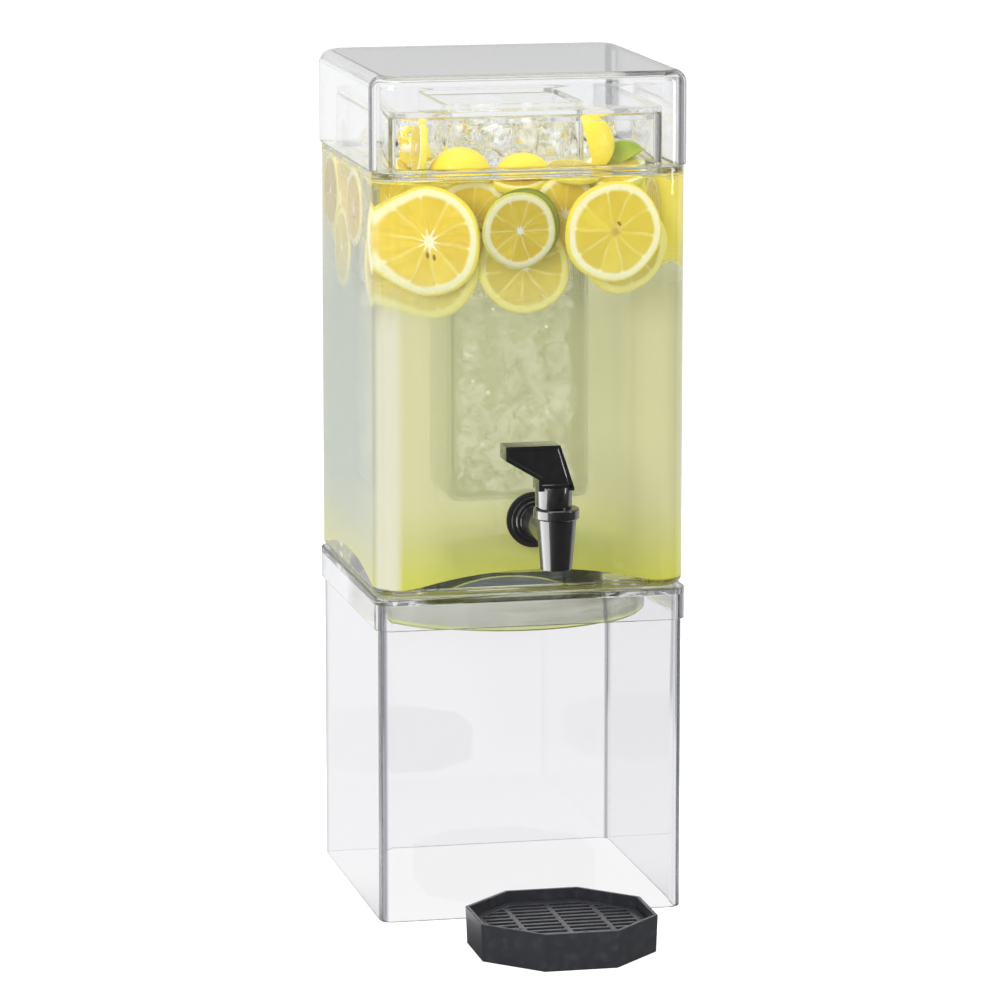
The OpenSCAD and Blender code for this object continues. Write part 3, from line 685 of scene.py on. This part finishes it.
# where a slice's middle lies when it rests on the front or the left wall
ON_WALL = -97.3
SLICES = [
    # name, finish, x, y, z, radius, thickness, lean, yaw, spin; the front ones
    # lie against the front wall or lean on its corner
    ("slice_front_left", LEMON, -66, -80.7, 454.5, 36, 6, 0, -27, 10),
    ("slice_front_left_back", LEMON_PALE, -65.5, -71.5, 436.5, 35, 6, 0, -27, 60),
    ("slice_front_lime", LIME, -9, ON_WALL, 461.6, 25, 6, 0, 0, 30),
    ("slice_front_lime_back", LIME_SHADED, -5, -89, 463, 25.5, 5, 0, 0, 30),
    ("slice_front_low", LEMON_PALE, -4, -86.5, 436, 30.6, 5, 2, 0, 80),
    ("slice_front_right", LEMON_RIGHT, 55.5, -90.5, 458.5, 34, 6, 0, 12, 45),
    ("slice_front_right_back", LEMON_PALE, 64, -80, 448, 32, 6, 0, 18, 15),
    ("slice_between_left", LEMON, -36, -72, 466, 28, 5, 4, -12, 33),
    ("slice_between_right", LEMON, 25, -78, 469, 26, 5, 4, 8, 66),
    ("slice_left_front", LEMON, ON_WALL, -22, 470, 26, 6, 0, -90, 20),
    ("slice_left_back", LEMON_PALE, ON_WALL, 60, 471, 26, 6, 0, -90, 50),
    ("slice_left_low", LEMON_PALE, -94, 24, 437, 27, 6, 3, -90, 70),
    ("slice_back_left", LEMON, -40, 94, 462, 33, 6, 0, 180, 25),
    ("slice_back_right", LIME, 40, 95, 455, 26, 6, 0, 180, 65),
    ("slice_right_front", LEMON, 96, -30, 460, 31, 6, 0, 90, 35),
    ("slice_right_back", LEMON_PALE, 95, 45, 468, 28, 6, 0, 90, 75),
    # afloat under the neck and in it
    ("slice_neck_left", LEMON, -68, -62, 514, 19, 5, 3, -92, 0),
    ("slice_afloat_left", LEMON_PALE, -66, -30, 492, 24, 6, 70, 60, 0),
    ("slice_afloat_front", LEMON, -4, -67, 492, 20, 6, 72, -8, 40),
    ("slice_afloat_mid", LEMON_PALE, 33, -68, 496, 19, 6, 78, 12, 25),
    ("slice_afloat_right", LIME, 62, -66, 495, 22, 6, 64, -25, 10),
    ("slice_afloat_side", LEMON_PALE, 70, 16, 489, 24, 6, 70, -80, 55),
    ("slice_afloat_back", LEMON, -30, 72, 490, 26, 6, 62, 170, 30),
    ("slice_afloat_edge", LIME, -70, 18, 489, 23, 6, 70, 95, 15),
]
for name, kind, x, y, z, radius, thick, lean, yaw, spin in SLICES:
    keep(name, turned(slice_disc(radius, thick), (x, y, z), lean, yaw, spin), "tank",
         [kind], smooth=50)


def fruit_wedge(radius, length, share):
    """A share of a whole fruit, cut along its length: peel outside, flesh on the cuts."""
    mesh = bmesh.new()
    angles = [math.radians(a) for a in range(-90, 91, 9)]
    points = [mesh.verts.new((radius * max(math.cos(a), 0.0) ** 0.8, 0,
                              length * (math.sin(a) + 0.1 * math.sin(a) ** 9) / 1.1))
              for a in angles]
    rind = [mesh.edges.new(pair) for pair in zip(points, points[1:])]
    turn = math.tau * share
    bmesh.ops.spin(mesh, geom=points + rind, cent=(0, 0, 0), axis=(0, 0, 1),
                   angle=turn, steps=int(48 * share), use_duplicate=False)
    bmesh.ops.remove_doubles(mesh, verts=mesh.verts, dist=0.0005)
    ends = [v for v in mesh.verts if math.hypot(v.co.x, v.co.y) < 0.01]
    spine = mesh.edges.new(ends)
    rims = [e for e in mesh.edges if e.is_boundary]
    for way_x, way_y in ((1, 0), (math.cos(turn), math.sin(turn))):
        side = [e for e in rims if all(
            abs(v.co.x * way_y - v.co.y * way_x) < 0.01
            and v.co.x * way_x + v.co.y * way_y > -0.01 for v in e.verts)]
        bmesh.ops.contextual_create(mesh, geom=side + [spine], mat_nr=1)
    bmesh.ops.recalc_face_normals(mesh, faces=mesh.faces)
    disc = mesh.loops.layers.uv.new("disc")
    for face in mesh.faces:
        for loop in face.loops:
            x, y, z = loop.vert.co
            loop[disc].uv = (0.5 + 0.48 * math.hypot(x, y) / radius, 0.5 + 0.48 * z / length)
    return mesh


WEDGES = [
    # name, peel, flesh, radius, half length, share, place, turns about x, y and z
    ("lemon_half_afloat", LEMON_PEEL, LEMON, 19, 21, 0.5, (-42, -67, 495), (90, 0, 84)),
    ("lemon_half_middle", LEMON_PEEL, LEMON, 13, 18, 0.5, (-1, -72, 497), (90, 0, 96)),
    ("lemon_wedge_right", LEMON_PEEL, LEMON, 18, 20, 0.3, (44, -66, 515), (15, 4, -100)),
    ("lime_wedge_right", LIME_PEEL, LIME, 15, 19, 0.3, (66, -64, 500), (60, 0, 60)),
    ("lemon_wedge_left", LEMON_PEEL, LEMON, 15, 19, 0.3, (-68, -26, 500), (75, 0, 20)),
    ("lemon_wedge_back", LEMON_PEEL, LEMON_PALE, 16, 21, 0.35, (24, 68, 498), (80, 0, 70)),
]
for name, rind, flesh, radius, length, share, place, turns in WEDGES:
    turn = Euler([math.radians(a) for a in turns]).to_matrix().to_4x4()
    keep(name, move(fruit_wedge(radius, length, share), Matrix.Translation(place) @ turn),
         "tank", [rind, flesh], smooth=40)


def ice_cube(rng, size):
    mesh = bmesh.new()
    bmesh.ops.create_cube(mesh, size=size)
    for v in mesh.verts:
        v.co *= rng.uniform(0.85, 1.1)
    bmesh.ops.bevel(mesh, geom=mesh.edges[:], offset=size * 0.14, segments=3, profile=0.5,
                    affect="EDGES", material=-1)
    return mesh


def ice_pile(seed, places, size, low, high):
    """Cubes of ice at their places, each turned at random, held between two corners."""
    rng = random.Random(seed)
    pile = bmesh.new()
    for place in places:
        cube = ice_cube(rng, size * rng.uniform(0.85, 1.15))
        turn = Matrix.Rotation(rng.uniform(0, math.tau), 4, Vector(
            (rng.uniform(-1, 1), rng.uniform(-1, 1), rng.uniform(-1, 1))).normalized())
        move(cube, Matrix.Translation(place) @ turn)
        data = bpy.data.meshes.new("cube")
        cube.to_mesh(data)
        cube.free()
        pile.from_mesh(data)
        bpy.data.meshes.remove(data)
    for v in pile.verts:
        v.co = [min(max(c, a), b) for c, a, b in zip(v.co, low, high)]
    return pile


def ice_piece(name, pile, body, finish, joined=True):
    """Keeps a pile of ice. Where joined, its cubes are one lumpy mass, frozen together."""
    piece = keep(name, pile, body, [finish], clear=True, smooth=0)
    if joined:
        frozen = piece.modifiers.new("frozen", "REMESH")
        frozen.mode = "VOXEL"
        frozen.voxel_size = 1.8 * MM
        frozen.use_smooth_shade = True


def stacked(low, high, pitch, rng):
    """Places for cubes of ice, layer on layer, in the chamber."""
    places = []
    z = low
    while z < high:
        shift = rng.uniform(-3, 3)
        for x in (-29, -10, 10, 29):
            for y in (-29, -10, 10, 29):
                places.append((x + rng.uniform(-3, 3), y + rng.uniform(-3, 3),
                               z + shift + rng.uniform(-3, 3)))
        z += pitch
    return places


# the chamber's inside, less a hair, is 44.6 to either side of the axis
IN_CHAMBER = 44.6
rng = random.Random(7)
ice_piece("ice_low", ice_pile(3, stacked(288, 486, 14.5, rng), 16,
                              (-IN_CHAMBER, -IN_CHAMBER, 279.0),
                              (IN_CHAMBER, IN_CHAMBER, 495.0)), "chamber", ICE_WET)
ice_piece("ice_top", ice_pile(4, stacked(503, 524, 13, rng), 17,
                              (-IN_CHAMBER, -IN_CHAMBER, 487.0),
                              (IN_CHAMBER, IN_CHAMBER, 529.0)), "chamber", ICE)
# bits of crushed ice adrift in front of the chamber; their cloudy white makes painted glints for
# the ice column behind them
CHIPS = [(rng.uniform(-44, 14), rng.uniform(-98, -88), rng.uniform(285, 425))
         for _ in range(34)]
ice_piece("ice_chips", ice_pile(9, CHIPS, 2.6, (-60, -99.4, 279.0), (60, -80, 440.0)),
          "tank", ICE_GLINT_CHIPS, joined=False)
LOOSE_ICE = [(-68, -34, 513), (-70, -8, 510), (68, -8, 503), (66, 30, 508), (-66, 40, 506),
             (-20, 68, 506), (-4, 70, 516), (54, 64, 503), (70, 8, 516), (-70, 12, 516)]
ice_piece("ice_afloat", ice_pile(5, LOOSE_ICE, 19, (-86, -86, 480), (86, 86, 534)), "tank",
          ICE)


# Tap, tray and small parts

UPRIGHT = Matrix.Translation((0, -171, 270))
FORWARD = Matrix.Translation((0, -105, 270)) @ Matrix.Rotation(math.radians(90), 4, "X")


def solid(name, mesh, body, finish, bevel=0.4):
    """A black moulded piece with its sharp edges rounded."""
    piece = keep(name, mesh, body, [finish], smooth=0)
    edges = piece.modifiers.new("edges", "BEVEL")
    edges.width = bevel * MM
    edges.segments = 3
    edges.limit_method = "ANGLE"
    edges.angle_limit = math.radians(35)
    edges.harden_normals = True
    return piece


barrel = solid("tap_barrel", move(lathe([
    (6.2, -21), (10.3, -21), (13, 10.5), (13, 12.5), (10, 12.5), (10, 17.7), (8.2, 17.7),
    (8.2, -6), (6.2, -9)]), UPRIGHT), "tank", BLACK)
shank = solid("tap_shank", move(lathe([
    (5, -26), (8, -26), (8, 2.5), (16, 2.5), (16, 5.5), (13, 5.5), (13, 8), (10.5, 8),
    (9, 56), (5, 56)]), FORWARD), "tank", BLACK)
bonnet = solid("tap_cap", move(lathe([
    (10.15, 0), (14.2, 0), (15, 0.8), (15, 6.4), (14.2, 7.2), (3.6, 7.2), (3.6, 5.4),
    (10.15, 5.4)]), UPRIGHT @ Matrix.Translation((0, 0, 12.5))), "tank", BLACK)
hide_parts("tap_body")
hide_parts("tap_body")
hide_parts("tap_bonnet")


def softened(node, body, finish, width, panel=0.0):
    """A copy of a plain part with softened edges. panel sinks its flat sides by a
    little, that far in from their edges."""
    mesh = bmesh.new()
    mesh.from_mesh(NODES[node].data)
    move(mesh, Matrix.Translation((0, -AXIS_Y, 0)) @ Matrix.Scale(1 / MM, 4))
    bmesh.ops.remove_doubles(mesh, verts=mesh.verts, dist=0.001)
    bmesh.ops.dissolve_limit(mesh, angle_limit=math.radians(1), verts=mesh.verts,
                             edges=mesh.edges)
    if panel:
        sides = [face for face in mesh.faces
                 if abs(face.normal.y) > 0.99 and face.calc_area() > 300]
        bmesh.ops.inset_region(mesh, faces=sides, thickness=panel, depth=0)
        bmesh.ops.inset_region(mesh, faces=sides, thickness=0.6, depth=-0.6)
    piece = solid(node + "_soft", mesh, body, finish, width)
    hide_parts(node)
    return piece


lever = softened("tap_lever", "lever", BLACK, 0.35, 2.6)
softened("drip_tray", "tray", TRAY_BLACK, 0.4)
softened("drip_grille", "grille", TRAY_BLACK, 0.3)

for name, finish in (("valve_stem", BLACK), ("lever_pin", BLACK), ("shank_nut", BLACK),
                     ("outer_gasket", GASKET), ("inner_gasket", GASKET),
                     ("seat_cup", SILICONE), ("slip_washer", NYLON)):
    data = NODES[name].data
    data.materials.clear()
    data.materials.append(finish)


# Studio

WORLD_WINDOW = 15.5
FLOOR_WINDOW = 26.0


def light_path(f):
    """Wires that are 1 for rays from the camera, through clear pieces and off gloss."""
    path = f.tree.nodes.new("ShaderNodeLightPath")
    return [Wire(f.tree, path.outputs[name])
            for name in ("Is Camera Ray", "Is Transmission Ray", "Is Glossy Ray")]


def card_level(f, x, y, window):
    """How bright the studio is behind a clear piece, by direction: white cards stand
    round the set, and the grey gaps between them draw the edges of clear pieces. A
    wider card stands behind it, window degrees to either side."""
    turn = x.math("ARCTAN2", y) * (180 / math.pi)
    fold = ((turn / 45.0 + 0.5).math("FRACT") - 0.5).size() * 45.0
    eighth = 1.0 - fold.step(6.0, 10.0)
    behind = 1.0 - turn.size().step(window, window + 3.5)
    return 0.5 + 0.5 * eighth.math("MAXIMUM", behind)


def studio_world():
    """White to the camera. Gloss sees a room that is bright behind the set and dark
    before it, with a darker band over the floor, and a light ceiling."""
    world = bpy.data.worlds.new("studio")
    bpy.context.scene.world = world
    f = Finish("studio", world)
    camera, through, shiny = light_path(f)
    x, y, up = f.xyz(f.node("TexCoord", "Generated"))
    band = 1.0 - 0.55 * up.step(0.02, 0.08) * (1.0 - up.step(0.35, 0.5))
    room = (0.08 + 0.87 * y.step(-0.2, 0.7)) * band + 0.3 * up.step(0.4, 0.9)
    level = shiny * room + (1.0 - shiny) * 0.62
    level = through * card_level(f, x, y, WORLD_WINDOW) + (1.0 - through) * level
    level = camera + (1.0 - camera) * level
    f.show(f.node("Background", Color=(1, 1, 1), Strength=level))


def floor_finish():
    """Pale paint that keeps the shadow. Clear pieces and gloss see it as bright as the
    room behind it, near the set and away from it."""
    f = Finish("pale_floor")
    camera, through, shiny = light_path(f)
    grain = f.noise(3.0, 2.0)
    paint = f.node("BsdfDiffuse", Color=f.mix(grain, (0.80, 0.80, 0.80), (0.82, 0.82, 0.82)))
    glow = f.node("Emission", Color=(1, 1, 1), Strength=0.55 * camera)
    x, y, _ = f.xyz()
    y = y - AXIS_Y * MM
    near = 1.0 - ((x * x + y * y) ** 0.5).step(0.5, 0.8)
    behind = near.math("MAXIMUM", card_level(f, x, y, FLOOR_WINDOW))
    mirrored = 0.1 + 0.85 * y.step(-0.2, 0.05)
    mirror = shiny * (1.0 - through)
    card = f.node("Emission", Color=(1, 1, 1), Strength=through * behind + mirror * mirrored)
    seen = f.node("AddShader", in0=paint, in1=glow)
    return f.show(f.node("MixShader", in0=through + mirror, in1=seen, in2=card))


studio_world()
ground = bmesh.new()
bmesh.ops.create_grid(ground, x_segments=8, y_segments=8, size=6000)
keep("floor", ground, None, [floor_finish()], smooth=0)


def lamp(name, place, aim, size, watts):
    data = bpy.data.lights.new(name, "AREA")
    data.shape = "RECTANGLE"
    data.size, data.size_y = size
    data.energy = watts
    light = bpy.data.objects.new(name, data)
    bpy.context.scene.collection.objects.link(light)
    light.location = place
    light.rotation_euler = (Vector(aim) - Vector(place)).to_track_quat("-Z", "Y").to_euler()
    light.visible_camera = False
    light.visible_transmission = False
    return light


MIDDLE = (0, 0, 0.3)
lamp("key_box", (-1.5, -1.6, 1.3), MIDDLE, (0.7, 1.6), 30)
lamp("side_box", (1.7, -0.9, 0.9), MIDDLE, (0.35, 1.4), 12)
lamp("top_box", (0.0, 0.2, 2.4), MIDDLE, (1.6, 1.6), 24)
# the strip only draws the broad highlight on the black tap
strip = lamp("tap_strip", (-0.5, -0.13, 0.15), (0, -0.1, 0.2), (0.6, 0.35), 5)
strip.visible_diffuse = False
lit_by_strip = bpy.data.collections.new("lit_by_strip")
for piece in (barrel, shank, bonnet, lever):
    lit_by_strip.objects.link(piece)
strip.light_linking.receiver_collection = lit_by_strip

CAMERA_SIDE = math.radians(-12.42)
CAMERA_UP = math.radians(10.28)
DISTANCE = 3.720
LOOK_AT = Vector((0.0003, AXIS_Y * MM, 0.26428))
SENSOR = 36.0
FOCAL_SHARE = 5.479  # of the picture's width
away = Vector((math.sin(CAMERA_SIDE) * math.cos(CAMERA_UP),
               -math.cos(CAMERA_SIDE) * math.cos(CAMERA_UP), math.sin(CAMERA_UP)))
camera = bpy.data.objects.new("camera", bpy.data.cameras.new("camera"))
bpy.context.scene.collection.objects.link(camera)
camera.location = LOOK_AT + away * DISTANCE
camera.rotation_euler = (-away).to_track_quat("-Z", "Y").to_euler()
camera.data.lens = SENSOR * FOCAL_SHARE
camera.data.clip_end = 100.0
bpy.context.scene.camera = camera
bpy.context.scene.view_settings.view_transform = "Standard"
# light crosses many clear walls, and runs far along inside them
bpy.context.scene.cycles.max_bounces = 64
bpy.context.scene.cycles.transmission_bounces = 64
bpy.context.scene.cycles.glossy_bounces = 64
